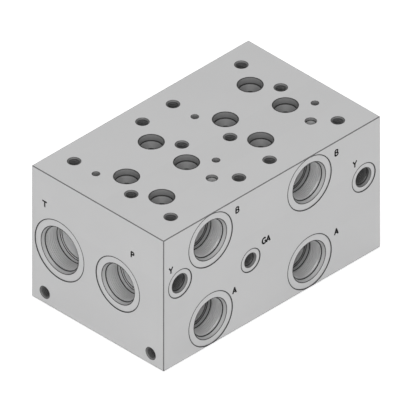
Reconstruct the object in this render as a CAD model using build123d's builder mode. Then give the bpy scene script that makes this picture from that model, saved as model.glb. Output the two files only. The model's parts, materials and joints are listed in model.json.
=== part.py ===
from build123d import *
from dataclasses import dataclass
from math import hypot, radians, tan
import os

os.makedirs("parts", exist_ok=True)

# The frame: +X runs along the bar, -Y is the face with the work ports, +Z is the valve face,
# and the origin is the middle of the foot. All sizes are in millimetres.

# Bar
block_length = 292.1
block_width = 177.8
block_height = 152.4
edge_break = 0.5

# Valve stations, set out as ISO 4401-08 sets out this size of valve pad
station_count = 2
station_pitch = 133.35
bolt_rows = 130.2
bolt_lines = 92.1

# How far a hole of the pad lies from the corner bolt at +X and +Y: towards -Y, then towards -X
pad_port_p = (77.0, 17.5)
pad_port_t = (29.4, 17.5)
pad_port_a = (53.2, 74.6)
pad_port_b = (100.8, 74.6)
pad_port_y = (112.7, 19.0)
pad_screws = [(0, 0), (0, bolt_lines), (bolt_rows, 0), (bolt_rows, bolt_lines), (53.2, 0), (77.0, bolt_lines)]
pad_pins = [(94.5, -4.8), (29.4, bolt_lines)]

# Holes of the valve pad
drill_point = 118.0
valve_port_d = 23.4
valve_port_depth = 6.6
drop_d = 9.5
drill_run_out = 2.5
pilot_port_d = 10.7
pilot_port_depth = 3.0
pilot_drop_d = 6.35
pin_hole_d = 7.1
pin_hole_depth = 8.0
screw_d = 12.7
screw_depth = 31.75

# Straight-thread O-ring ports
spotface_depth = 0.5


@dataclass
class ThreadPort:
    """The diameters of one size of port, and the depths of its seat and thread from the spotface."""
    spotface_d: float
    seat_d: float
    seat_depth: float
    thread_d: float
    thread_depth: float


port_4 = ThreadPort(spotface_d=20.6, seat_d=12.4, seat_depth=2.4, thread_d=11.1, thread_depth=11.5)
port_6 = ThreadPort(spotface_d=24.6, seat_d=15.6, seat_depth=2.5, thread_d=14.3, thread_depth=12.7)
port_8 = ThreadPort(spotface_d=30.2, seat_d=20.6, seat_depth=2.5, thread_d=19.05, thread_depth=14.3)
port_20 = ThreadPort(spotface_d=57.9, seat_d=43.5, seat_depth=3.3, thread_d=41.3, thread_depth=19.05)
port_24 = ThreadPort(spotface_d=65.0, seat_d=49.8, seat_depth=3.3, thread_d=47.6, thread_depth=19.05)

# Galleries that run the length of the bar, the main ones to one side of the drops that feed them
tank_gallery_d = 40.5
tank_gallery_aside = 15.9
pressure_gallery_d = 34.0
pressure_gallery_aside = 15.1
main_gallery_height = 71.4
pilot_gallery_d = 9.5
pilot_branch_d = 7.9
pilot_gallery_to_front = 26.0
pilot_gallery_depth = 60.3
pilot_port_to_end = 22.2

# Ports on the front face
work_passage_d = 34.0
work_port_offset = -15.9
work_port_to_edge = 30.2
gauge_passage_d = 7.9
gauge_port_x = -28.6

# Tapped mounting holes in both ends
mount_hole_to_side = 17.5
mount_hole_height = 12.7

drill_slope = tan(radians(drill_point / 2))
front_y = -block_width / 2
tank_gallery_y = bolt_rows / 2 - pad_port_t[0] + tank_gallery_aside
pressure_gallery_y = bolt_rows / 2 - pad_port_p[0] - pressure_gallery_aside
pilot_gallery_y = front_y + pilot_gallery_to_front
pilot_gallery_z = block_height - pilot_gallery_depth
station_xs = [(i - (station_count - 1) / 2) * station_pitch for i in range(station_count)]
valve_face = Plane.XY.offset(block_height)


def pad_point(station_x, place):
    """Where a hole of the pad lies in the valve face."""
    towards_front, towards_left = place
    return station_x + bolt_lines / 2 - towards_left, bolt_rows / 2 - towards_front


def pad_plane(station_x, place):
    """The mouth of one hole in the valve face."""
    x, y = pad_point(station_x, place)
    return Plane((x, y, block_height), x_dir=(1, 0, 0), z_dir=(0, 0, 1))


def front_plane(x, z):
    """The mouth of a hole in the front face."""
    return Plane((x, front_y, z), x_dir=(1, 0, 0), z_dir=(0, -1, 0))


def end_plane(side, y, z):
    """The mouth of a hole in an end of the bar, where side is -1 or 1."""
    return Plane((side * block_length / 2, y, z), x_dir=(0, side, 0), z_dir=(side, 0, 0))


def turned_cut(mouth, outline):
    """Cut away what a half outline of radius and depth sweeps when it turns about the hole's axis."""
    section = Plane(mouth.origin, x_dir=mouth.x_dir, z_dir=-mouth.y_dir)
    with BuildSketch(section) as half:
        with BuildLine():
            Polyline([(radius, -depth) for radius, depth in outline], close=True)
        make_face()
    revolve(half.sketch, axis=Axis(mouth.origin, mouth.z_dir), mode=Mode.SUBTRACT)


def drilled_hole(mouth, diameter, depth, start=0.0):
    """A hole with the cone that a drill leaves at its bottom."""
    radius = diameter / 2
    turned_cut(mouth, [(0, start), (radius, start), (radius, depth), (0, depth + radius / drill_slope)])


def stepped_hole(mouth, wide_d, wide_depth, narrow_d, depth):
    """A hole that a drill point narrows from one diameter to the next, with a drill point at its end."""
    wide, narrow = wide_d / 2, narrow_d / 2
    neck = wide_depth + (wide - narrow) / drill_slope
    turned_cut(mouth, [(0, 0), (wide, 0), (wide, wide_depth), (narrow, neck), (narrow, depth),
                       (0, depth + narrow / drill_slope)])


def thread_port(mouth, port):
    """The cavity of an O-ring port: spotface, seat cone, and a wall at the thread's outer diameter."""
    spotface, seat, thread = port.spotface_d / 2, port.seat_d / 2, port.thread_d / 2
    seat_end = spotface_depth + port.seat_depth
    thread_end = spotface_depth + port.thread_depth
    turned_cut(mouth, [(0, 0), (spotface, 0), (spotface, spotface_depth), (seat, spotface_depth),
                       (thread, seat_end), (thread, thread_end), (0, thread_end)])


with BuildPart() as manifold_body:
    Box(block_length, block_width, block_height, align=(Align.CENTER, Align.CENTER, Align.MIN))
    chamfer(manifold_body.edges(), length=edge_break)

    # Screws and locating pins of the valves
    for places, diameter, depth in ((pad_screws, screw_d, screw_depth),
                                    (pad_pins, pin_hole_d, pin_hole_depth)):
        with BuildSketch(valve_face) as pad_holes:
            with Locations([pad_point(x, place) for x in station_xs for place in places]):
                Circle(diameter / 2)
        extrude(pad_holes.sketch, amount=-depth, mode=Mode.SUBTRACT)

    # Each end has a tank port, a pressure port and a pair of mounting holes
    for side in (-1, 1):
        thread_port(end_plane(side, tank_gallery_y, main_gallery_height), port_24)
        thread_port(end_plane(side, pressure_gallery_y, main_gallery_height), port_20)
        with BuildSketch(end_plane(side, 0, mount_hole_height)) as mount_holes:
            with GridLocations(block_width - 2 * mount_hole_to_side, 0, 2, 1):
                Circle(screw_d / 2)
        extrude(mount_holes.sketch, amount=-screw_depth, mode=Mode.SUBTRACT)

    # The two main galleries go right through, from the port at one end to the port at the other
    for y, diameter in ((tank_gallery_y, tank_gallery_d), (pressure_gallery_y, pressure_gallery_d)):
        with BuildSketch(end_plane(-1, y, main_gallery_height)) as gallery:
            Circle(diameter / 2)
        extrude(gallery.sketch, amount=-block_length, mode=Mode.SUBTRACT)

    # The pilot drain gallery is drilled from the right-hand end, and both front drain ports branch off it
    pilot_end = end_plane(1, pilot_gallery_y, pilot_gallery_z)
    thread_port(pilot_end, port_4)
    drilled_hole(pilot_end, pilot_gallery_d, block_length - pilot_port_to_end)
    for side in (-1, 1):
        x = side * (block_length / 2 - pilot_port_to_end)
        thread_port(front_plane(x, pilot_gallery_z), port_8)
        drilled_hole(front_plane(x, pilot_gallery_z), pilot_branch_d, pilot_gallery_to_front)

    # The gauge port reads the pressure gallery
    gauge_mouth = front_plane(gauge_port_x, main_gallery_height)
    thread_port(gauge_mouth, port_6)
    drilled_hole(gauge_mouth, gauge_passage_d, pressure_gallery_y - front_y)

    for station_x in station_xs:
        # Pressure and tank drop into their galleries
        for place in (pad_port_p, pad_port_t):
            stepped_hole(pad_plane(station_x, place), valve_port_d, valve_port_depth, drop_d,
                         block_height - main_gallery_height + drill_run_out)

        # Each work port drops to a passage of its own, B near the top of the bar and A near its foot
        for place, height in ((pad_port_a, work_port_to_edge),
                              (pad_port_b, block_height - work_port_to_edge)):
            drop = pad_plane(station_x, place)
            stepped_hole(drop, valve_port_d, valve_port_depth, drop_d, block_height - height + drill_run_out)
            mouth = front_plane(station_x + work_port_offset, height)
            thread_port(mouth, port_20)
            drilled_hole(mouth, work_passage_d, drop.origin.Y - front_y + drop_d / 2 + drill_run_out)

        # The pilot drain slants from its port in the pad to the gallery behind the front face
        pilot_mouth = pad_plane(station_x, pad_port_y)
        drilled_hole(pilot_mouth, pilot_port_d, pilot_port_depth)
        run = pilot_mouth.origin.Y - pilot_gallery_y
        slant = Plane(pilot_mouth.origin, x_dir=(1, 0, 0), z_dir=(0, run, pilot_gallery_depth))
        drilled_hole(slant, pilot_drop_d, hypot(run, pilot_gallery_depth), start=pilot_port_depth)

manifold_body.part.label = "manifold_body"
export_step(manifold_body.part, "parts/manifold_body.step")
print("solids", len(manifold_body.part.solids()), "volume", round(manifold_body.part.volume))
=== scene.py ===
# %% [markdown]
# Valve manifold, dressed for looks.
# The real object is one bar of machined metal with many drilled holes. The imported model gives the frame: its
# body, its size and the place of every port. This script builds a finer copy of the bar with threads, broken
# edges and cut letters, gives it a machined finish, and sets up a plain studio. Sizes are in millimetres, and
# MM turns them into Blender's metres.

# %% Load the frame
import json
import math
from collections import namedtuple

import bpy
from mathutils import Matrix, Vector


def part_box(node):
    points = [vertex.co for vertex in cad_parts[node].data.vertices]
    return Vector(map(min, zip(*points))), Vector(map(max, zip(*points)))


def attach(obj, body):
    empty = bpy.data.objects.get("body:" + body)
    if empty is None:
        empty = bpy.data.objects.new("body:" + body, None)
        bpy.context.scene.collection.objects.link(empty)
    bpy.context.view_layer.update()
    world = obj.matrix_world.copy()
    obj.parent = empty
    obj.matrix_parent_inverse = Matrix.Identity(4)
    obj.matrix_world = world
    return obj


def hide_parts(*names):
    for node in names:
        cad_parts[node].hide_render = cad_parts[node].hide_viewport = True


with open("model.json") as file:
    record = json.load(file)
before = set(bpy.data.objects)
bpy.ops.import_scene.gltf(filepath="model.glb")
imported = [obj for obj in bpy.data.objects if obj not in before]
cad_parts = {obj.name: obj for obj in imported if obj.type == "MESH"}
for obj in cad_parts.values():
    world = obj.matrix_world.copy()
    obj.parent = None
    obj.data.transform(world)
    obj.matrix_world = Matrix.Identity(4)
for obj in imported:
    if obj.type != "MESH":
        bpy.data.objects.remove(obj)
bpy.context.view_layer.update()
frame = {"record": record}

MM = 0.001
INCH = 25.4
low, high = [Vector(corner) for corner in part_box("manifold_body")]
mounts = {mount["name"]: mount for mount in frame["record"]["mounts"]}
print("bar", [round(v / MM, 2) for v in high - low], "mm,", len(mounts), "mounts")

# %% [markdown]
# Shader maths.
# A finish is worked out with numbers that change over the surface. Math nodes can be wired one by one, but a
# long sum is then hard to read. So a small class wraps a socket of a node tree and overloads the operators,
# and "1 - mask * 0.3" adds its own Math nodes.

# %% A class for sockets
class Signal:
    """A socket that carries a value, for use in sums."""

    def __init__(self, nodes, socket):
        self.nodes, self.socket = nodes, socket

    def maths(self, operation, *values):
        return self.nodes.node("ShaderNodeMath", {"operation": operation}, dict(enumerate(values)))

    def __add__(self, other): return self.maths("ADD", self, other)
    def __radd__(self, other): return self.maths("ADD", other, self)
    def __sub__(self, other): return self.maths("SUBTRACT", self, other)
    def __rsub__(self, other): return self.maths("SUBTRACT", other, self)
    def __mul__(self, other): return self.maths("MULTIPLY", self, other)
    def __rmul__(self, other): return self.maths("MULTIPLY", other, self)
    def __truediv__(self, other): return self.maths("DIVIDE", self, other)
    def __rtruediv__(self, other): return self.maths("DIVIDE", other, self)

    def sine(self): return self.maths("SINE", self)
    def floor(self): return self.maths("FLOOR", self)
    def fraction(self): return self.maths("FRACT", self)
    def root(self): return self.maths("SQRT", self)
    def larger(self, other): return self.maths("MAXIMUM", self, other)


def sway(noise, amount):
    """A noise from 0 to 1 made a change of half an amount either way."""
    return (noise - 0.5) * amount


print("sums ready")

# %% [markdown]
# Nodes.
# One method adds every other kind of node: its type, then its settings, then the values or links of its
# sockets. The settings come first, because some of them change which sockets a node has.

# %% A class for node trees
class Nodes:
    """The node tree of a material or of the sky."""

    def __init__(self, tree):
        self.tree = tree

    def node(self, kind, settings, sockets, output=0):
        made = self.tree.nodes.new(kind)
        for name, value in settings.items():
            setattr(made, name, value)
        for key, value in sockets.items():
            self.plug(made.inputs[key], value)
        return Signal(self, made.outputs[output])

    def plug(self, socket, value):
        if isinstance(value, Signal):
            self.tree.links.new(value.socket, socket)
        else:
            socket.default_value = value


print("nodes ready")

# %% [markdown]
# Finishes.
# A finish is a material with one Principled shader. Most finishes read their place on the bar from Object
# coordinates, so that a pattern has its real size and runs on from face to face. The greys of the bar are a
# trace cooler than neutral, as bare metal under a white sky is.

# %% A class for finishes
COOL = 1.004


class Finish(Nodes):
    """A material with one Principled shader, built from Python expressions."""

    def __init__(self, name):
        self.material = bpy.data.materials.new(name)
        self.material.use_nodes = True
        super().__init__(self.material.node_tree)
        self.shader = self.tree.nodes["Principled BSDF"]

    def set(self, **values):
        for name, value in values.items():
            self.plug(self.shader.inputs[name.replace("_", " ")], value)

    def axes(self):
        """The X, Y and Z of a point on the bar, in millimetres."""
        place = self.node("ShaderNodeTexCoord", {}, {}, "Object")
        return [self.node("ShaderNodeSeparateXYZ", {}, {0: place}, i) / MM for i in range(3)]

    def noise(self, x, y, z, scale, detail=2.0):
        """Soft noise from 0 to 1 at a place in millimetres, with a blob about 1 / scale millimetres wide."""
        place = self.node("ShaderNodeCombineXYZ", {}, {0: x, 1: y, 2: z})
        return self.node("ShaderNodeTexNoise", {"noise_dimensions": "3D"},
                         {"Vector": place, "Scale": scale, "Detail": detail})

    def grey(self, value):
        """A grey that is a trace cooler than neutral."""
        return self.node("ShaderNodeCombineColor", {}, {0: value, 1: value, 2: value * COOL})

    def bump(self, height, distance):
        """Height from -1 to 1, raised by a distance in millimetres."""
        return self.node("ShaderNodeBump", {}, {"Strength": 1.0, "Distance": distance * MM, "Height": height})


print("finish helpers ready")

# %% [markdown]
# Milled faces.
# A face mill crosses each face of the bar in a few wide passes and leaves fine arcs, a fraction of a
# millimetre apart. An image could show them, but it would blur up close and repeat. Here the arcs are
# circles of the cutter's radius that march along the pass, so their phase is the distance along the pass
# less the rise of the circle. They feed a shallow bump and a small change of roughness. Each pass is a shade
# lighter or darker than the next, and soft noise breaks the whole up.

# %% Milled finish, one for each direction that a face looks
MILLED_GREY = 0.50
MILL_RADIUS, MILL_FEED = 50.0, 0.8
MILL_WANDER, MARK_RISE = 1.5, 0.006
TOP_PASS, SIDE_PASS = 44.45, 50.8


def milled(name, along, across, pass_width, start):
    """The cutter travels along one axis, and its passes lie side by side across another."""
    finish = Finish(name)
    place = finish.axes()
    run, side, off = place[along], place[across], place[3 - along - across]
    lane = (side - start) / pass_width
    in_lane = (lane.fraction() - 0.5) * pass_width
    arc = run - (MILL_RADIUS ** 2 - in_lane * in_lane).root()
    wander = finish.noise(run, side, off, scale=0.05)
    marks = ((arc + wander * MILL_WANDER) * (2 * math.pi / MILL_FEED)).sine()
    strength = finish.noise(run, side, off, scale=0.035)
    lane_tone = finish.node("ShaderNodeTexWhiteNoise", {"noise_dimensions": "1D"}, {"W": lane.floor()})
    cloud = finish.noise(run, side, off, scale=0.02, detail=4.0)
    grain = finish.noise(run * 0.4, side * 3.0, off, scale=1.2, detail=3.0)
    tone = MILLED_GREY * (1.0 + sway(cloud, 0.05) + sway(lane_tone, 0.018) + sway(grain, 0.05))
    finish.set(Base_Color=finish.grey(tone), Metallic=0.55,
               Roughness=0.46 + sway(grain, 0.16) + marks * strength * 0.03,
               Normal=finish.bump(marks * strength + sway(grain, 0.8), MARK_RISE))
    return finish.material


finishes = [
    milled("milled_end", along=1, across=2, pass_width=SIDE_PASS, start=low.z / MM),
    milled("milled_front", along=0, across=2, pass_width=SIDE_PASS, start=low.z / MM),
    milled("milled_top", along=0, across=1, pass_width=TOP_PASS, start=low.y / MM),
]
print("milled finishes", [material.name for material in finishes])

# %% [markdown]
# Turned and drilled walls.
# A boring tool or a drill turns about the hole's axis, so its marks are rings. On Object coordinates each
# hole would need rings of its own. So each cutter below carries a UV map whose V is the distance along its
# outline in millimetres, and the rings follow V whichever way the hole points: round the wall, and round the
# axis on a flat step. U is the angle, which turns the rings into one fine spiral. A wall can also darken from
# its grey at the mouth to a darker grey at a depth, as painted shade where little light gets in.

# %% Finishes that follow a hole's outline
def turned(name, grey, rough, feed, rise, deep_shade_grey=None, shade_depth=30.0, metal=0.35, shine=0.5):
    """Rings that lie a feed apart and are a rise high."""
    deep_shade_grey = grey if deep_shade_grey is None else deep_shade_grey
    finish = Finish(name)
    place = finish.node("ShaderNodeTexCoord", {}, {}, "UV")
    around, reach = [finish.node("ShaderNodeSeparateXYZ", {}, {0: place}, i) for i in (0, 1)]
    x, y, z = finish.axes()
    marks = (reach * (2 * math.pi / feed) + around * (2 * math.pi)).sine()
    rings = finish.noise(reach, 0.0, 0.0, scale=1.1, detail=3.0)
    cloud = finish.noise(x, y, z, scale=0.06, detail=3.0)
    # the grey darkens from the mouth to the deep grey at a depth: painted shade in a narrow hole
    depth = finish.node("ShaderNodeClamp", {}, {0: reach / shade_depth})
    tone = (grey + depth * (deep_shade_grey - grey)) * (1.0 + sway(rings, 0.10) + sway(cloud, 0.05))
    finish.set(Base_Color=finish.grey(tone), Metallic=metal, Specular_IOR_Level=shine,
               Roughness=rough + sway(rings, 0.12), Normal=finish.bump(marks * 0.5 + sway(rings, 1.5), rise))
    return finish.material


finishes += [
    # a broken edge and a tool's ring are near black: painted shade lines at edges and corners
    turned("broken_edge_painted_shade", grey=0.13, rough=0.55, feed=0.5, rise=0.003, metal=0.2),
    turned("tool_ring_painted_shade", grey=0.035, rough=0.65, feed=0.5, rise=0.003, metal=0.0, shine=0.2),
    turned("turned_spotface", grey=0.53, rough=0.45, feed=0.5, rise=0.006),
    turned("turned_seat", grey=0.42, rough=0.60, feed=0.4, rise=0.005, metal=0.2),
    # the seat of a small port is darker than a large one's: painted shade in a narrow hole
    turned("small_seat_painted_shade", grey=0.20, rough=0.60, feed=0.4, rise=0.005, metal=0.2),
    turned("drilled_wall", grey=0.56, rough=0.55, feed=0.6, rise=0.008),
    # a small bore is darker than a drilled wall and darkens with depth: painted shade
    turned("small_bore_painted_shade", grey=0.17, deep_shade_grey=0.05, shade_depth=14.0, rough=0.55, feed=0.5, rise=0.006),
    # a valve port's wall is darker than a drilled wall and darkens with depth: painted shade
    turned("valve_port_wall_painted_shade", grey=0.34, deep_shade_grey=0.20, shade_depth=13.0, rough=0.60, feed=0.6, rise=0.008,
           metal=0.2),
    # a gallery's wall and a tap drill's wall are lighter than a drilled wall: painted light deep in the bar
    turned("gallery_wall_painted_light", grey=0.94, rough=0.55, feed=0.8, rise=0.010, metal=0.0),
    turned("tap_drill_wall_painted_light", grey=0.72, rough=0.55, feed=0.8, rise=0.010),
    turned("cut_thread", grey=0.56, rough=0.50, feed=0.7, rise=0.004),
    # a small port's thread is darker than a large one's: painted shade
    turned("small_thread_painted_shade", grey=0.15, rough=0.50, feed=0.7, rise=0.004),
]
print("now", len(finishes), "finishes")

# %% [markdown]
# Letter paint.
# The port letters are cut into the metal and filled with black paint. The paint is matt, a little uneven, and
# thin enough that its grey varies, so one fine noise drives its colour, its roughness and its bump.

# %% Black paint of the letters
PAINT_BLACK, PAINT_SPREAD = 0.004, 0.008
paint = Finish("letter_paint")
fleck = paint.noise(*paint.axes(), scale=1.5, detail=3.0)
paint.set(Base_Color=paint.grey(PAINT_BLACK + fleck * PAINT_SPREAD), Metallic=0.0,
          Roughness=0.6 + fleck * 0.2, Specular_IOR_Level=0.15, Normal=paint.bump(fleck - 0.5, 0.05))
finishes.append(paint.material)
slots = {material.name: index for index, material in enumerate(finishes)}
print("slots", slots)

# %% [markdown]
# The bar.
# On the real object this is a length of sawn bar, milled on six faces, with its edges broken by a small
# chamfer. A cube gets the box of the imported body in edit mode, and a bevel of one segment breaks its edges.
# An inset then leaves a narrow band along every edge of the wide faces, so that a dark line of painted shade
# along each broken edge can be seen from afar. In vertex mode the corners of the six wide faces would select
# the chamfers too, so the faces are selected in face mode.

# %% Block with broken edges
EDGE_BREAK, EDGE_SHADE_BAND = 0.5, 0.3
SQUARE_ON = 0.99


def choose(*pieces):
    """Select these objects and no others, and make the first one active."""
    bpy.ops.object.select_all(action="DESELECT")
    for piece in pieces:
        piece.select_set(True)
    if pieces:
        bpy.context.view_layer.objects.active = pieces[0]


def looks_along(face):
    """The axis that a face looks along, or None for a slanting one."""
    return next((i for i in range(3) if abs(face.normal[i]) > SQUARE_ON), None)


choose()
bpy.ops.mesh.primitive_cube_add(size=1.0, location=(low + high) / 2)
bar = bpy.context.object
bar.name = "manifold_bar"
bpy.ops.object.mode_set(mode="EDIT")
bpy.ops.mesh.select_all(action="SELECT")
bpy.ops.transform.resize(value=high - low)
bpy.ops.mesh.bevel(offset=EDGE_BREAK * MM, offset_type="OFFSET", segments=1, affect="EDGES")
bpy.ops.mesh.select_mode(type="FACE")
bpy.ops.mesh.select_all(action="DESELECT")
bpy.ops.object.mode_set(mode="OBJECT")
bpy.ops.object.transform_apply(location=True, rotation=True, scale=True)
for face in bar.data.polygons:
    face.select = looks_along(face) is not None
bpy.ops.object.mode_set(mode="EDIT")
bpy.ops.mesh.inset(thickness=EDGE_SHADE_BAND * MM, use_individual=True)
bpy.ops.mesh.select_mode(type="VERT")
bpy.ops.object.mode_set(mode="OBJECT")
print(bar.name, len(bar.data.polygons), "faces")

# %% [markdown]
# Which finish goes where.
# A wide face gets the milled finish of the axis that it looks along, so the hidden faces are finished like
# the seen ones. The chamfers and the narrow bands get the near-black finish of a broken edge, which is painted
# shade. Only the wide faces are larger than a hundredth of a square metre, so the area tells them from the
# bands.

# %% Finish of each face of the block
WIDE_FACE = 0.01


def take_finishes(piece):
    """Give a piece all the finishes in the same order, so that a slot number means the same on each."""
    for material in finishes:
        piece.data.materials.append(material)


take_finishes(bar)
for face in bar.data.polygons:
    axis = looks_along(face)
    face.material_index = slots["broken_edge_painted_shade"] if axis is None or face.area <= WIDE_FACE else axis
print("wide faces", sum(face.area > WIDE_FACE for face in bar.data.polygons))

# %% [markdown]
# Cutters.
# A hole is cut as the shop cuts it, with a tool that has the hole's outline. The outline is a list of steps:
# a radius, a depth below the face, and the finish of the wall that leads there. Lathing a curve would do, but
# plain operators show each step. The tool starts as a filled circle above the face, and each step extrudes it
# down and scales it to the next radius. Where the radius is nought, the circle is merged to a point.

# %% Make a tool from its outline
ROUND_SIDES = 96


def make_tool(name, outline, sides=ROUND_SIDES):
    """A solid that points up, with its zero at the mouth of its hole."""
    choose()
    radius, depth, _ = outline[0]
    bpy.ops.mesh.primitive_circle_add(vertices=sides, radius=radius * MM, fill_type="NGON",
                                      location=(0, 0, -depth * MM))
    tool = bpy.context.object
    tool.name = name
    bpy.ops.object.mode_set(mode="EDIT")
    bpy.ops.mesh.select_all(action="SELECT")
    for wider, deeper, _ in outline[1:]:
        bpy.ops.mesh.extrude_region_move(TRANSFORM_OT_translate={"value": (0, 0, (depth - deeper) * MM)})
        if wider == 0:
            bpy.ops.mesh.merge(type="CENTER")
        else:
            bpy.ops.transform.resize(value=(wider / radius, wider / radius, 1.0),
                                     center_override=(0, 0, -deeper * MM))
        radius, depth = wider, deeper
    bpy.ops.mesh.select_all(action="SELECT")
    bpy.ops.mesh.normals_make_consistent(inside=False)
    bpy.ops.object.mode_set(mode="OBJECT")
    bpy.ops.object.transform_apply(location=True, rotation=True, scale=True)
    mark_tool(tool, outline)
    return tool


print("tools have", ROUND_SIDES, "sides unless they are small")

# %% [markdown]
# Marks of a cutter.
# The Boolean that cuts a hole gives its walls the finish and the UV map of the tool. So each face of the tool
# gets its finish here. U is the angle about the axis and V the distance along the outline, for the rings.

# %% Finish and UV map of a tool
def mark_tool(tool, outline):
    """Give each face the finish of its step, and the UV map the angle and the distance along the outline."""
    take_finishes(tool)
    steps = [(radius * MM, -depth * MM) for radius, depth, _ in outline]
    reach = [0.0]
    for (r0, z0), (r1, z1) in zip(steps, steps[1:]):
        reach.append(reach[-1] + math.hypot(r1 - r0, z1 - z0) / MM)

    def step_of(vertex):
        r, z = math.hypot(vertex.co.x, vertex.co.y), vertex.co.z
        return min(range(len(steps)), key=lambda i: abs(steps[i][0] - r) + abs(steps[i][1] - z))

    step = [step_of(vertex) for vertex in tool.data.vertices]
    uv = tool.data.uv_layers[0].data
    for face in tool.data.polygons:
        finish_name = outline[max(step[v] for v in face.vertices)][2]
        face.material_index = slots[finish_name] if finish_name else 0
        around = math.atan2(face.center.y, face.center.x) / (2 * math.pi)
        for corner in face.loop_indices:
            uv[corner].uv = (around, reach[step[tool.data.loops[corner].vertex_index]])


print("tool marks ready")

# %% [markdown]
# Setting up a tool.
# A tool is made once, copied for each hole of its kind, and turned to point out of the hole. The record gives
# a point on each hole's axis and the way it points out of the bar, and the mouth is where that axis crosses
# the face. So no place of a port is written down here a second time.

# %% Put a tool at a mouth
def mouth_of(name):
    """The point in the bar's face where a mount's axis comes out, and the axis."""
    mount = mounts[name]
    axis, point = Vector(mount["axis"]), Vector(mount["pos_m"])
    for i in range(3):
        if abs(axis[i]) > SQUARE_ON:
            point[i] = high[i] if axis[i] > 0 else low[i]
    return point, axis


def copy_of(tool, name):
    """A copy of a tool, with a mesh of its own."""
    twin = tool.copy()
    twin.data = tool.data.copy()
    twin.name = name
    bpy.context.collection.objects.link(twin)
    return twin


def stand(tool, mouth, axis):
    """Turn a tool so that it points along the hole's outward axis, with its zero at the mouth."""
    turn = Vector((0, 0, 1)).rotation_difference(Vector(axis)).to_matrix().to_4x4()
    tool.data.transform(Matrix.Translation(mouth) @ turn)
    return tool


def at_mouth(tool, name):
    """A copy of a tool that stands at a mount's mouth."""
    return stand(copy_of(tool, name), *mouth_of(name))


tank, pressure = mouth_of("port_T_left")[0], mouth_of("port_P_left")[0]
print("port T opens at", [round(v / MM, 1) for v in tank])

# %% [markdown]
# Cutting.
# Tools that don't touch each other are joined and cut in one go, which is much quicker than one by one. The
# Boolean modifier's Manifold solver is fast and leaves no open edges, as long as each tool is closed. It also
# hands the finish of a tool's face on to the wall that the face cuts.

# %% Cut with a set of tools
def cut(tools):
    """Join tools that don't touch each other and cut them out of the bar in one go."""
    choose(*tools)
    if len(tools) > 1:
        bpy.ops.object.join()
    cutter = bpy.context.object
    choose(bar)
    bpy.ops.object.modifier_add(type="BOOLEAN")
    modifier = bar.modifiers[-1]
    modifier.operation, modifier.solver, modifier.material_mode = "DIFFERENCE", "MANIFOLD", "TRANSFER"
    modifier.object = cutter
    bpy.ops.object.modifier_apply(modifier=modifier.name)
    bpy.data.objects.remove(cutter)
    print("cut", len(tools), "tools, bar has", len(bar.data.polygons), "faces")


def put_away(*tools):
    """Remove tools that are cut with no more."""
    for tool in tools:
        bpy.data.objects.remove(tool)


print("cutting ready")

# %% [markdown]
# Sizes of the straight-thread ports.
# Each threaded port has a shallow spotface for the fitting's collar, a cone for its O-ring, a thread, and the
# end of the tap drill. The standard for such ports gives these by the diameter of the thread, so they go into
# a table.

# %% Port sizes
SPOTFACE_DEPTH = 0.5
BIG_PORT = 20

Port = namedtuple("Port", "spotface seat drill seat_depth thread_depth drill_depth pitch sides")
# by thread diameter: diameters, then depths below the spotface, then the thread's pitch and the tool's sides
PORT_SIZES = {
    11.1: Port(20.6, 12.4, 9.9, 2.4, 11.5, 14.0, INCH / 20, 40),
    14.3: Port(24.6, 15.6, 12.9, 2.5, 12.7, 15.5, INCH / 18, 48),
    19.05: Port(30.2, 20.6, 17.5, 2.5, 14.3, 17.5, INCH / 16, 64),
    41.3: Port(57.9, 43.5, 39.2, 3.3, 19.05, 23.1, INCH / 12, 96),
    47.6: Port(65.0, 49.8, 45.6, 3.3, 19.05, 23.1, INCH / 12, 96),
}
print("threads of", list(PORT_SIZES), "mm")

# %% [markdown]
# Outline of a port.
# One outline serves all sizes, since only the row of the table changes. It has the tap drill's radius where
# the thread goes, and the thread is cut after it. Each corner of the outline is a narrow ring, which stands
# for the broken edge or the groove that a tool leaves there, and is painted near black as a shade line.

# %% Draw the outline of a port
STAND_OFF = 1.0
RIM_DEPTH = 0.08
PORT_RIM, VALVE_RIM, SMALL_RIM = 2.0, 2.6, 1.2
DRILL_POINT = 118.0
DRILL_SLOPE = math.tan(math.radians(DRILL_POINT / 2))
# how far a ring dips, and its shares above and below the thread's end
RING_DIP, RING_ABOVE, RING_BELOW = 0.1, 0.8, 0.6


def rim(radius, width=PORT_RIM):
    """The start of an outline, which leaves a narrow and nearly flat ring round the mouth, painted near black
    as shade.
    """
    return [(radius + width, -STAND_OFF, None), (radius + width, -RIM_DEPTH, None),
            (radius, RIM_DEPTH, "tool_ring_painted_shade")]


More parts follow.
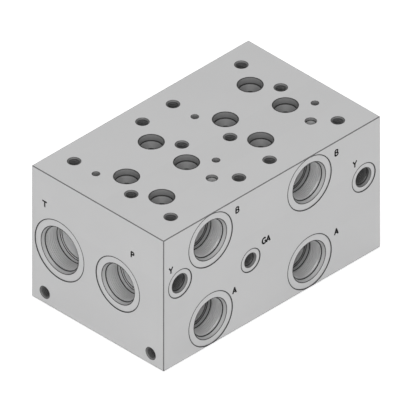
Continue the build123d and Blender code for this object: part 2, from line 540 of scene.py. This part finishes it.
def port_outline(size, passage, length=None):
    """Spotface, O-ring seat, thread wall and tap drill, then a blind passage where a length is given."""
    port, big, blind = PORT_SIZES[size], size > BIG_PORT, length is not None
    spotface, seat, thread, drill = port.spotface / 2, port.seat / 2, size / 2, port.drill / 2
    seat_end = SPOTFACE_DEPTH + port.seat_depth
    thread_end = SPOTFACE_DEPTH + port.thread_depth
    drill_end = SPOTFACE_DEPTH + port.drill_depth

    # narrow ports and the step of a blind large port take darker greys as painted shade, the tap drill's wall
    # a lighter grey as painted light
    seat_wall = "turned_seat" if big else "small_seat_painted_shade"
    wall = "drilled_wall" if big else "small_bore_painted_shade"
    beyond = wall if blind else "tap_drill_wall_painted_light"
    step_face = "valve_port_wall_painted_shade" if big and blind else beyond
    passage_wall = "tap_drill_wall_painted_light" if big else "small_bore_painted_shade"

    # widths of the rings: round the seat and the thread's end, at its first turn, and round the drill's step
    ring, first, step = (0.9, 0.85, 0.6) if big else (0.45, thread - drill - RING_DIP, 0.4)
    outline = rim(spotface) + [
        (spotface, SPOTFACE_DEPTH, "tool_ring_painted_shade"),
        (seat + ring, SPOTFACE_DEPTH, "turned_spotface"),
        (seat, SPOTFACE_DEPTH + RING_DIP, "tool_ring_painted_shade"),
        (thread + RING_DIP, seat_end - RING_DIP, seat_wall),
        (thread - first, seat_end + first, "tool_ring_painted_shade"),
        (drill, seat_end + thread - drill, wall),
        (drill, thread_end - RING_ABOVE * ring, wall),
        (drill, thread_end + RING_BELOW * ring, "tool_ring_painted_shade"),
        (drill, drill_end - step, beyond),
        (drill - step, drill_end, "tool_ring_painted_shade"),
        (passage + step, drill_end, step_face),
        (passage, drill_end + step, "tool_ring_painted_shade"),
    ]
    if blind:
        outline += [(passage, length, passage_wall), (0, length + passage / DRILL_SLOPE, passage_wall)]
    return outline


print("a large port's outline has", len(port_outline(47.6, 20.0)), "steps")

# %% [markdown]
# Tools of the large ports.
# Tank and pressure ports open into galleries that are cut after them, so their tools end just inside the
# gallery's wall. The tool of a work port has its passage too, which reaches past the drop of its valve by the
# drill's run-out.

# %% Large port tools
TANK_RADIUS, PRESSURE_RADIUS, WORK_RADIUS = 20.25, 17.0, 17.0
DROP_RADIUS, RUN_OUT = 4.75, 2.5
INSIDE = 0.02

tools = {
    "T": make_tool("tank_port", port_outline(47.6, TANK_RADIUS - INSIDE)),
    "P": make_tool("pressure_port", port_outline(41.3, PRESSURE_RADIUS - INSIDE)),
}
for letter in "AB":
    drop_y = mounts[f"valve_1_port_{letter}"]["pos_m"][1]
    reach = (drop_y - low.y) / MM + DROP_RADIUS + RUN_OUT
    tools[letter] = make_tool(f"work_port_{letter}", port_outline(41.3, WORK_RADIUS, reach))
    print("work passage", letter, "reaches", round(reach, 1), "mm")

# %% [markdown]
# Ports in the ends.
# Tank and pressure ports are the same in both ends, as a bar manifold is plumbed from either. The small drain
# gallery is drilled from the right-hand end only, and its port and its drilling are one tool.

# %% Cut the ports in the ends
PILOT_RADIUS = 4.75
end_tools = []
for side in ("left", "right"):
    for letter in "TP":
        end_tools.append(at_mouth(tools[letter], f"port_{letter}_{side}"))

pilot = mouth_of("port_Y_right")[0]
pilot_length = (high.x - mouth_of("port_Y1")[0].x) / MM
pilot_outline = port_outline(11.1, PILOT_RADIUS, pilot_length)
pilot_tool = make_tool("pilot_gallery", pilot_outline, PORT_SIZES[11.1].sides)
end_tools.append(stand(pilot_tool, *mouth_of("port_Y_right")))
cut(end_tools)

# %% [markdown]
# Galleries.
# The two main galleries are drilled from port to port. Each tool is a plain cylinder that starts and ends
# outside the bar, so that no thin skin is left at its ends. The step at half its length puts the same finish
# on both halves and keeps its faces from growing too long. That finish is a near-white grey, painted light
# deep inside the bar.

# %% Cut the galleries
bar_length = (high.x - low.x) / MM
galleries = []
for name, mouth, radius in (("tank_gallery", tank, TANK_RADIUS),
                            ("pressure_gallery", pressure, PRESSURE_RADIUS)):
    through = [(radius, -STAND_OFF, None), (radius, bar_length / 2, "gallery_wall_painted_light"),
               (radius, bar_length + STAND_OFF, "gallery_wall_painted_light")]
    galleries.append(stand(make_tool(name, through), mouth, (-1, 0, 0)))
cut(galleries)

# %% [markdown]
# Ports in the front face.
# Each work port goes on as a wide passage to its valve. The drain ports and the gauge port end in thin
# drillings that reach the galleries behind them, so the lengths come from where those galleries lie.

# %% Cut the front face
THIN_RADIUS = 3.95
front_tools = []
for letter in "AB":
    for station in "12":
        front_tools.append(at_mouth(tools[letter], f"port_{letter}{station}"))

to_pilot, to_pressure = (pilot.y - low.y) / MM, (pressure.y - low.y) / MM
drain_port = make_tool("drain_port", port_outline(19.05, THIN_RADIUS, to_pilot), PORT_SIZES[19.05].sides)
for station in "12":
    front_tools.append(at_mouth(drain_port, f"port_Y{station}"))
gauge_port = make_tool("gauge_port", port_outline(14.3, THIN_RADIUS, to_pressure), PORT_SIZES[14.3].sides)
front_tools.append(stand(gauge_port, *mouth_of("port_GA")))
cut(front_tools)
put_away(*tools.values(), drain_port)

# %% [markdown]
# Oil ports of the valves.
# The valve's four oil ports open as shallow cylinders, narrow by the drill's cone and drop to their gallery
# or passage. Only the depth of the drop differs, so one outline takes it as a value, and one tool per letter
# serves both valves.

# %% Tools of the valve ports
VALVE_RADIUS, VALVE_DEPTH = 11.7, 6.6
VALVE_SIDES = 64
# the ring of painted shade where the wall meets the cone: up the wall, in along the cone, and down
RING_UP, RING_IN, RING_DOWN = 0.6, 0.8, 0.5
NECK_RING = 0.1


def valve_outline(depth):
    """A shallow cylinder, a cone with a ring of painted shade at each end, and the drop with its drill point.
    """
    neck = VALVE_DEPTH + (VALVE_RADIUS - DROP_RADIUS) / DRILL_SLOPE
    return rim(VALVE_RADIUS, VALVE_RIM) + [
        (VALVE_RADIUS, VALVE_DEPTH - RING_UP, "valve_port_wall_painted_shade"),
        (VALVE_RADIUS - RING_IN, VALVE_DEPTH + RING_DOWN, "tool_ring_painted_shade"),
        (DROP_RADIUS + NECK_RING, neck - NECK_RING / 2, "valve_port_wall_painted_shade"),
        (DROP_RADIUS, neck + NECK_RING, "broken_edge_painted_shade"),
        (DROP_RADIUS, depth, "small_bore_painted_shade"),
        (0, depth + DROP_RADIUS / DRILL_SLOPE, "small_bore_painted_shade"),
    ]


drop_ends = {"P": pressure.z, "T": tank.z, "A": mouth_of("port_A1")[0].z, "B": mouth_of("port_B1")[0].z}
valve_tools = {}
for letter, bottom in drop_ends.items():
    depth = (high.z - bottom) / MM + RUN_OUT
    valve_tools[letter] = make_tool(f"valve_port_{letter}", valve_outline(depth), VALVE_SIDES)
    print("drop", letter, "is", round(depth, 1), "mm deep")

# %% [markdown]
# Screws, locating pins and drains of the valves.
# The screws have tapped holes whose mouths are countersunk and whose drill goes on below the thread. The
# locating pins have short blind holes, and the drain starts as one. These three tools are small, so fewer
# sides are round enough.

# %% Tools of the small holes
PIN_RADIUS, PIN_DEPTH = 3.55, 8.0
DRAIN_RADIUS, DRAIN_DEPTH = 5.35, 3.0
SCREW_RADIUS, SCREW_DEPTH = 6.35, 31.75
SCREW_DRILL, SCREW_DRILL_DEPTH = 5.35, 38.1
SCREW_SIDES, DRAIN_SIDES = 32, 48
DRAIN_RING, FINEST_RING = 0.6, 0.01


def blind_outline(radius, depth, ring=0.0):
    """A short blind hole with a drill point, and a ring of painted shade where the point starts."""
    return rim(radius, SMALL_RIM) + [
        (radius, depth - ring, "valve_port_wall_painted_shade"),
        (radius - ring - FINEST_RING, depth + FINEST_RING, "tool_ring_painted_shade"),
        (0, depth + radius / DRILL_SLOPE, "valve_port_wall_painted_shade"),
    ]


screw_outline = rim(SCREW_RADIUS, SMALL_RIM) + [
    (SCREW_DRILL, RIM_DEPTH + SCREW_RADIUS - SCREW_DRILL, "small_bore_painted_shade"),
    (SCREW_DRILL, SCREW_DRILL_DEPTH, "small_bore_painted_shade"),
    (0, SCREW_DRILL_DEPTH + SCREW_DRILL / DRILL_SLOPE, "small_bore_painted_shade"),
]
screw_tool = make_tool("screw_hole", screw_outline, SCREW_SIDES)
pin_tool = make_tool("pin_hole", blind_outline(PIN_RADIUS, PIN_DEPTH), SCREW_SIDES)
drain_tool = make_tool("valve_drain", blind_outline(DRAIN_RADIUS, DRAIN_DEPTH, DRAIN_RING), DRAIN_SIDES)
print("screw, pin and drain tools ready")

# %% [markdown]
# Holes in the valve face.
# The record has one mount for the six screws of a valve, at the middle of its pad. The standard for valve
# pads of this size says where the screws and the pins lie from there. All holes of the face are clear of
# each other, so they are cut together.

# %% Cut the valve face
PAD_SCREWS = [(-46.05, -65.1), (-46.05, 65.1), (46.05, -65.1), (46.05, 65.1), (46.05, 11.9), (-46.05, -11.9)]
PAD_PINS = [(50.85, -29.4), (-46.05, 35.7)]
UP = Vector((0, 0, 1))
screw_mouths, pin_mouths = [], []
for station in "12":
    centre = Vector(mounts[f"valve_{station}_bolts"]["pos_m"])
    screw_mouths += [centre + Vector((x, y, 0)) * MM for x, y in PAD_SCREWS]
    pin_mouths += [centre + Vector((x, y, 0)) * MM for x, y in PAD_PINS]

top_tools = [stand(copy_of(screw_tool, f"screw_hole_{i}"), mouth, UP) for i, mouth in enumerate(screw_mouths)]
for letter, tool in valve_tools.items():
    for station in "12":
        top_tools.append(at_mouth(tool, f"valve_{station}_port_{letter}"))
top_tools += [stand(copy_of(pin_tool, f"pin_hole_{i}"), mouth, UP) for i, mouth in enumerate(pin_mouths)]
for station in "12":
    top_tools.append(at_mouth(drain_tool, f"valve_{station}_port_Y"))
cut(top_tools)

# %% [markdown]
# Slanting drains and the screw holes in the ends.
# The drain of each valve leaves its port in the pad at a slant and meets the drain gallery. Its tool is made
# upright like the others and then pointed from the gallery to the mouth. The two screw holes low in each end
# are the same as those of the valves.

# %% Cut the drains and the end holes
DRAIN_DROP = 3.175
slants = []
for station in "12":
    mouth = mouth_of(f"valve_{station}_port_Y")[0]
    way = mouth - Vector((mouth.x, pilot.y, pilot.z))
    length = way.length / MM
    outline = [(DRAIN_DROP, DRAIN_DEPTH, None), (DRAIN_DROP, length, "drilled_wall"),
               (0, length + DRAIN_DROP / DRILL_SLOPE, "drilled_wall")]
    slants.append(stand(make_tool(f"drain_{station}", outline, SCREW_SIDES), mouth, way.normalized()))
end_holes = [name for name in mounts if "end_screw_hole" in name]
cut(slants + [at_mouth(screw_tool, name) for name in end_holes])
put_away(*valve_tools.values(), screw_tool, pin_tool, drain_tool)

# %% [markdown]
# A thread.
# A thread is one tooth swept round and up by a pitch for each turn. A thread that is only a bump looks flat
# where its teeth show in profile, so it is cut for real. An outline of several teeth is drawn by extruding
# one point, and a Screw modifier takes it once round while it rises by one pitch, so that each tooth runs
# into the next. Extruding and turning the outline by hand would take one step for each side of the tool.

# %% Wind up the teeth of a thread
# each corner of a tooth: in the wall (0) or at the thread's outer radius (1), and how much of a pitch up
TOOTH = ((0, 0.0), (0, 0.25), (1, 0.5625), (1, 0.6875))


def wind_teeth(name, outer, inner, pitch, turns, base, sides):
    """Teeth that start at a base height and rise one pitch in a full turn, and their number of corners."""
    points = []
    for turn in range(turns):
        for out, rise in TOOTH:
            points.append(Vector(((outer if out else inner) * MM, 0.0, base + (turn + rise) * pitch * MM)))
    points.append(Vector((inner * MM, 0.0, base + turns * pitch * MM)))
    choose()
    bpy.ops.mesh.primitive_plane_add(size=MM, location=points[0])
    tool = bpy.context.object
    tool.name = name
    bpy.ops.object.transform_apply(location=True, rotation=True, scale=True)
    bpy.ops.object.mode_set(mode="EDIT")
    bpy.ops.mesh.select_all(action="SELECT")
    bpy.ops.mesh.merge(type="CENTER")
    for here, there in zip(points, points[1:]):
        bpy.ops.mesh.extrude_region_move(TRANSFORM_OT_translate={"value": there - here})
    bpy.ops.object.mode_set(mode="OBJECT")
    bpy.ops.object.modifier_add(type="SCREW")
    screw = tool.modifiers[-1]
    screw.axis, screw.angle, screw.screw_offset = "Z", 2 * math.pi, pitch * MM
    screw.steps = screw.render_steps = sides
    screw.use_smooth_shade = False
    bpy.ops.object.modifier_apply(modifier=screw.name)
    return tool, len(points)


print("a tooth has", len(TOOTH), "corners")

# %% [markdown]
# The ends of a thread.
# A tap leaves a thread that fades in and out. So the teeth shrink to the wall over the first and the last
# quarter of a turn. Which turn a point belongs to follows from its height and its angle. The first and the
# last outline lie at the same angle, one turn apart, and are told apart by their place in the list.

# %% Fade the ends of a thread
FADE = 0.25
SLACK = 1e-4


def fade_ends(tool, inner, pitch, turns, base, corners):
    """Shrink the teeth to the wall at both ends of a thread."""
    vertices = tool.data.vertices
    for vertex in vertices:
        spot = vertex.co
        angle = math.atan2(spot.y, spot.x) / (2 * math.pi) % 1.0
        if vertex.index >= len(vertices) - corners:
            angle = 1.0
        elif vertex.index < corners:
            angle = 0.0
        height = (spot.z - base) / (pitch * MM)
        turn = math.floor(height - angle + SLACK) + angle
        shrink = min(1.0, max(0.0, turn / FADE), max(0.0, (turns - turn) / FADE))
        radius = math.hypot(spot.x, spot.y)
        wanted = inner * MM + (radius - inner * MM) * shrink
        spot.x, spot.y = spot.x * wanted / radius, spot.y * wanted / radius


print("threads fade over", FADE, "of a turn")

# %% [markdown]
# A solid thread.
# A cutter has to be closed. The wound teeth are open at both ends and doubled where the seam meets, so the
# doubles are merged, the ends filled, and the faces turned outwards. The inner radius lies a little inside
# the drilled hole, where nothing is left to cut, so that only the ridges touch the bar.

# %% Make a thread tool
HIDDEN = 0.05
WELD = 1e-6
RINGS_PER_MM = 2.0


def close_up(tool):
    """Merge doubles, fill the open ends and turn the faces of a tool outwards."""
    choose(tool)
    bpy.ops.object.mode_set(mode="EDIT")
    bpy.ops.mesh.select_all(action="SELECT")
    bpy.ops.mesh.remove_doubles(threshold=WELD)
    bpy.ops.mesh.fill_holes(sides=0)
    bpy.ops.mesh.select_all(action="SELECT")
    bpy.ops.mesh.normals_make_consistent(inside=False)
    bpy.ops.object.mode_set(mode="OBJECT")


def thread_tool(name, outer, inner, pitch, top, bottom, sides, finish_name):
    """A solid whose ridges are the grooves of a right-hand thread, between two depths."""
    inner, base = inner - HIDDEN, -bottom * MM
    turns = int((bottom - top) / pitch) - 1
    tool, corners = wind_teeth(name, outer, inner, pitch, turns, base, sides)
    fade_ends(tool, inner, pitch, turns, base, corners)
    close_up(tool)
    take_finishes(tool)
    uv = tool.data.uv_layers[0].data
    for face in tool.data.polygons:
        face.material_index = slots[finish_name]
        for corner in face.loop_indices:
            spot = tool.data.vertices[tool.data.loops[corner].vertex_index].co
            uv[corner].uv = (0.0, math.hypot(spot.x, spot.y) / MM * RINGS_PER_MM)
    print(name, "has", turns, "turns")
    return tool


print("thread tools ready, walls hidden by", HIDDEN, "mm")

# %% [markdown]
# Threads of the ports and the screws.
# A port's thread starts just below its seat, and a screw's just below its countersink. The mount's radius
# tells which size a port has. All threads lie in holes of their own, so they are cut together.

# %% Cut the threads
BELOW_SEAT, BELOW_RIM = 0.2, 0.3
SCREW_PITCH = INCH / 13

thread_tools = {}
for size, port in PORT_SIZES.items():
    start, end = SPOTFACE_DEPTH + port.seat_depth + BELOW_SEAT, SPOTFACE_DEPTH + port.thread_depth
    # a small port's thread takes a darker grey, as painted shade
    finish_name = "cut_thread" if size > BIG_PORT else "small_thread_painted_shade"
    thread_tools[size] = thread_tool(f"thread_{size}", size / 2, port.drill / 2, port.pitch, start, end,
                                     port.sides, finish_name)
screw_thread = thread_tool("thread_screw", SCREW_RADIUS, SCREW_DRILL, SCREW_PITCH, RIM_DEPTH + BELOW_RIM,
                           SCREW_DEPTH, SCREW_SIDES, "small_thread_painted_shade")

threads = []
for name, mount in mounts.items():
    if name.startswith("port_"):
        size = min(PORT_SIZES, key=lambda size: abs(size / 2 - mount["dims"]["r_mm"]))
        threads.append(at_mouth(thread_tools[size], name))
    elif name in end_holes:
        threads.append(at_mouth(screw_thread, name))
for i, mouth in enumerate(screw_mouths):
    threads.append(stand(copy_of(screw_thread, f"thread_screw_{i}"), mouth, UP))
cut(threads)
put_away(*thread_tools.values(), screw_thread)

# %% [markdown]
# Strokes of the letters.
# Next to each port its letter is cut into the face and filled with black paint. Blender's own font gives the
# outlines of print, while an engraver follows strokes. So each letter is a few strokes, in shares of its
# height from the middle of its foot.

# %% Strokes in shares of a letter's height
STROKES = {
    "T": [[(-0.50, 1), (0.43, 1)], [(0, 1), (0, 0)]],
    "P": [[(-0.27, 0), (-0.27, 1)],
          [(-0.27, 1), (0.06, 1), (0.24, 0.90), (0.27, 0.77), (0.22, 0.62), (0.06, 0.54), (-0.27, 0.54)]],
    "Y": [[(-0.36, 1.05), (0, 0.46), (0, -0.06)], [(0.36, 1.05), (0, 0.46)]],
    "A": [[(-0.35, -0.04), (0.02, 1.04)], [(-0.02, 1.04), (0.35, -0.04)], [(-0.24, 0.31), (0.24, 0.31)]],
    "B": [[(-0.28, 0), (-0.28, 1)],
          [(-0.28, 1), (0.05, 1), (0.22, 0.90), (0.25, 0.76), (0.20, 0.62), (0.04, 0.53), (-0.28, 0.53)],
          [(-0.28, 0.53), (0.08, 0.52), (0.26, 0.42), (0.31, 0.27), (0.25, 0.10), (0.08, 0), (-0.28, 0)]],
    "G": [[(0.30, 0.82), (0.14, 0.97), (-0.06, 1), (-0.26, 0.86), (-0.36, 0.62), (-0.36, 0.36),
           (-0.26, 0.13), (-0.06, 0), (0.16, 0.03), (0.32, 0.16), (0.33, 0.44), (0.06, 0.44)]],
}
print("strokes", {letter: len(strokes) for letter, strokes in STROKES.items()})

# %% [markdown]
# The engraver's tool.
# A round-nosed cutter leaves a groove with a round section. A curve with a round bevel has just that shape
# round its corners too, which an extruded outline would need much care for. It is made a mesh, closed at its
# ends, and painted.

# %% Make a stroke tool
LETTER_HEIGHT, LETTER_SPREAD = 6.5, 1.03
NOSE_RADIUS, OTHER_NOSES = 0.92, {"A": 0.95, "G": 1.05}
NOSE_STEPS = 3


def stroke_tool(name, points, centre, right, radius):
    """A round-nosed groove along a stroke, on an upright face."""
    curve = bpy.data.curves.new(name, "CURVE")
    curve.dimensions, curve.bevel_depth, curve.bevel_resolution = "3D", radius * MM, NOSE_STEPS
    curve.use_fill_caps = True
    spline = curve.splines.new("POLY")
    spline.points.add(len(points) - 1)
    for point, (x, y) in zip(spline.points, points):
        across, up = x * LETTER_SPREAD * LETTER_HEIGHT * MM, (y - 0.5) * LETTER_HEIGHT * MM
        point.co = (*(centre + right * across + Vector((0, 0, up))), 1.0)
    line = bpy.data.objects.new(name, curve)
    bpy.context.collection.objects.link(line)
    choose(line)
    bpy.ops.object.convert(target="MESH")
    tool = bpy.context.object
    close_up(tool)
    take_finishes(tool)
    for face in tool.data.polygons:
        face.material_index = slots["letter_paint"]
    return tool


print("letters are", LETTER_HEIGHT, "mm high")

# %% [markdown]
# Port letters.
# Each label has its letters, its face, and its place along that face and down from the valve face. The
# strokes of a letter cross, and tools that touch can't be cut together. So they are cut in rounds: the first
# strokes of all first letters, then their second strokes, and so on, and then the second letters.

# %% Cut the letters
LETTER_STEP = 0.85
LABELS = [
    ("T", "end", 17.5, 36.9), ("P", "end", 135.9, 37.0),
    ("Y", "front", 9.9, 39.2), ("B", "front", 99.5, 12.9), ("A", "front", 95.6, 104.9),
    ("GA", "front", 138.4, 66.9), ("B", "front", 233.2, 13.0), ("A", "front", 232.9, 104.7),
    ("Y", "front", 257.9, 39.0),
]
# where each face starts, at its upper left corner as it is looked at, and which way it runs to the right
FACES = {
    "end": (Vector((low.x, high.y, high.z)), Vector((0, -1, 0))),
    "front": (Vector((low.x, low.y, high.z)), Vector((1, 0, 0))),
}
rounds = {}
for number, (word, face, along, down) in enumerate(LABELS):
    corner, right = FACES[face]
    for i, letter in enumerate(word):
        step = (i - (len(word) - 1) / 2) * LETTER_STEP * LETTER_HEIGHT
        centre = corner + right * ((along + step) * MM) - Vector((0, 0, down * MM))
        nose = OTHER_NOSES.get(letter, NOSE_RADIUS)
        for turn, points in enumerate(STROKES[letter]):
            tool = stroke_tool(f"stroke_{number}_{i}_{turn}", points, centre, right, nose)
            rounds.setdefault((i, turn), []).append(tool)
for turn in sorted(rounds):
    cut(rounds[turn])

# %% [markdown]
# Shading of the bar.
# A round wall is smooth and an edge between faces is sharp. Blender's shade-by-angle operator does both:
# faces that meet at less than thirty degrees shade as one. The milled faces stay flat, since a long thin
# triangle beside a hole would smear its shading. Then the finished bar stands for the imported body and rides
# on it.

# %% Finish the bar
SHARP_ANGLE = 30
choose(bar)
bpy.ops.object.shade_smooth_by_angle(angle=math.radians(SHARP_ANGLE))
for face in bar.data.polygons:
    if bar.data.materials[face.material_index].name.startswith("milled"):
        face.use_smooth = False
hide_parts("manifold_body")
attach(bar, "root")
bar.data.calc_loop_triangles()
print("bar has", len(bar.data.loop_triangles), "triangles")

# %% [markdown]
# Floor.
# The photograph shows the bar on plain white. A lit floor alone comes out grey away from the lamps, so this
# one also glows. The glow is only for what the camera sees, straight or by a reflection. Other light doesn't
# get it, so the bar isn't lit from below.

# %% White floor
FLOOR_SIZE, FLOOR_DROP = 12.0, 0.0002
FLOOR_WHITE, FLOOR_GLOW = 0.95, 0.42


def seen_rays(nodes):
    """1 for rays from the camera and those that a reflection or a clear piece sends on, 0 for other light."""
    kinds = [nodes.node("ShaderNodeLightPath", {}, {}, f"Is {kind} Ray")
             for kind in ("Camera", "Glossy", "Transmission")]
    return kinds[0].larger(kinds[1]).larger(kinds[2])


choose()
bpy.ops.mesh.primitive_plane_add(size=FLOOR_SIZE, location=(0, 0, -FLOOR_DROP))
floor = bpy.context.object
floor.name = "floor"
white = Finish("floor_white")
white.set(Base_Color=(FLOOR_WHITE, FLOOR_WHITE, FLOOR_WHITE, 1.0), Roughness=0.9, Specular_IOR_Level=0.0,
          Emission_Color=white.grey(seen_rays(white) * FLOOR_GLOW), Emission_Strength=1.0)
floor.data.materials.append(white.material)
print("floor at", round(floor.location.z / MM, 2), "mm")

# %% [markdown]
# Sky.
# The background has to be pure white, but a sky as bright as that would wash out the lamps. So the camera
# sees a white sky, and the bar is lit by a dimmer one. A Mix Shader chooses by the kind of ray.

# %% White sky that lights the bar softly
SKY_SEEN, SKY_LIGHT = 1.0, 0.38
WHITE = (1, 1, 1, 1)
world = bpy.data.worlds.new("studio_sky")
bpy.context.scene.world = world
world.use_nodes = True
sky = Nodes(world.node_tree)
backdrop = sky.tree.nodes["Background"]
sky.plug(backdrop.inputs["Color"], WHITE)
sky.plug(backdrop.inputs["Strength"], SKY_SEEN)
fill = sky.node("ShaderNodeBackground", {}, {"Color": WHITE, "Strength": SKY_LIGHT})
mixed = sky.node("ShaderNodeMixShader", {}, {0: seen_rays(sky), 1: fill, 2: Signal(sky, backdrop.outputs[0])})
sky.plug(sky.tree.nodes["World Output"].inputs["Surface"], mixed)
print("sky", world.name, "with", len(sky.tree.nodes), "nodes")

# %% [markdown]
# Lamps.
# In the photograph the three faces have one grey and no hard shadow. A wide lamp behind the camera lights all
# three alike and reaches into the ports. A second one above evens out the valve face.

# %% Two soft lamps
LAMP_AWAY = 3.0
middle = (low + high) / 2
view_way = Vector((-1, -1, 1)).normalized()


def soft_lamp(name, way, size, power):
    """A round lamp at a distance from the middle of the bar, which looks at it."""
    lamp = bpy.data.objects.new(name, bpy.data.lights.new(name, "AREA"))
    lamp.data.shape, lamp.data.size, lamp.data.energy = "DISK", size, power
    lamp.location = middle + way.normalized() * LAMP_AWAY
    lamp.rotation_euler = way.to_track_quat("Z", "Y").to_euler()
    bpy.context.collection.objects.link(lamp)


soft_lamp("lamp_front", view_way, size=3.6, power=54.0)
soft_lamp("lamp_top", Vector((0.1, 0.15, 1)), size=2.4, power=20.0)

# %% [markdown]
# Camera.
# The photograph looks at the bar along the diagonal of a cube, with no perspective. So the camera is
# orthographic, and its scale is the width of the picture at the bar. The Standard view keeps white as white.

# %% Camera along the diagonal
PICTURE_WIDTH, CAMERA_AWAY, CAMERA_REACH = 0.3929, 2.0, 20.0
camera = bpy.data.objects.new("camera", bpy.data.cameras.new("camera"))
camera.data.type, camera.data.ortho_scale = "ORTHO", PICTURE_WIDTH
camera.data.clip_end = CAMERA_REACH
camera.location = middle + view_way * CAMERA_AWAY
camera.rotation_euler = view_way.to_track_quat("Z", "Y").to_euler()
bpy.context.collection.objects.link(camera)
bpy.context.scene.camera = camera
bpy.context.scene.view_settings.view_transform = "Standard"
print("camera looks along", [round(v, 3) for v in -view_way])
